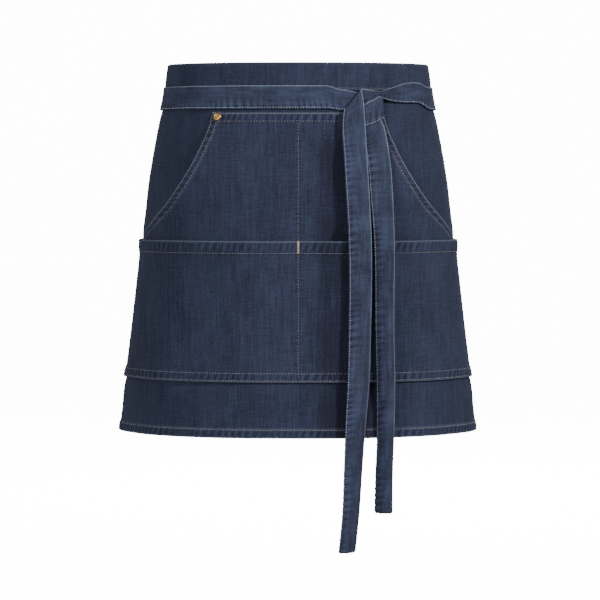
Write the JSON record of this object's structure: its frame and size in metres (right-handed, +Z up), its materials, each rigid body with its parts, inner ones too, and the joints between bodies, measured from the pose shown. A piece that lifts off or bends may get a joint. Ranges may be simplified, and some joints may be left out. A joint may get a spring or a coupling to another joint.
{
  "type": "waist apron",
  "caption": "Short denim waist apron in its worn form, with layered front pockets, metal rivets and a long tie knotted in front",
  "frame": {"origin": "centre of the waist opening at the ties' mid-height, where a body wears it", "axes": "+Z up, the front with the knot faces -Y, +X to the viewer's right when looking at the front"},
  "size_m": [0.3922, 0.2816, 0.5205],
  "materials": {
    "panel_denim": "dark indigo denim, matte",
    "band_denim": "dark indigo denim, folded double, matte",
    "pocket_denim": "dark indigo denim with contrast stitching, matte",
    "tie_denim": "indigo denim strip with pale edge stitching, matte",
    "rivet_metal": "copper-coloured, slightly worn"
  },
  "bodies": {
    "root": {"main_panel": "panel_denim", "waistband": "band_denim", "upper_pocket": "pocket_denim", "lower_pocket": "pocket_denim", "tie_left": "tie_denim", "tie_right": "tie_denim", "rivet_left": "rivet_metal", "rivet_right": "rivet_metal"}
  },
  "joints": []
}
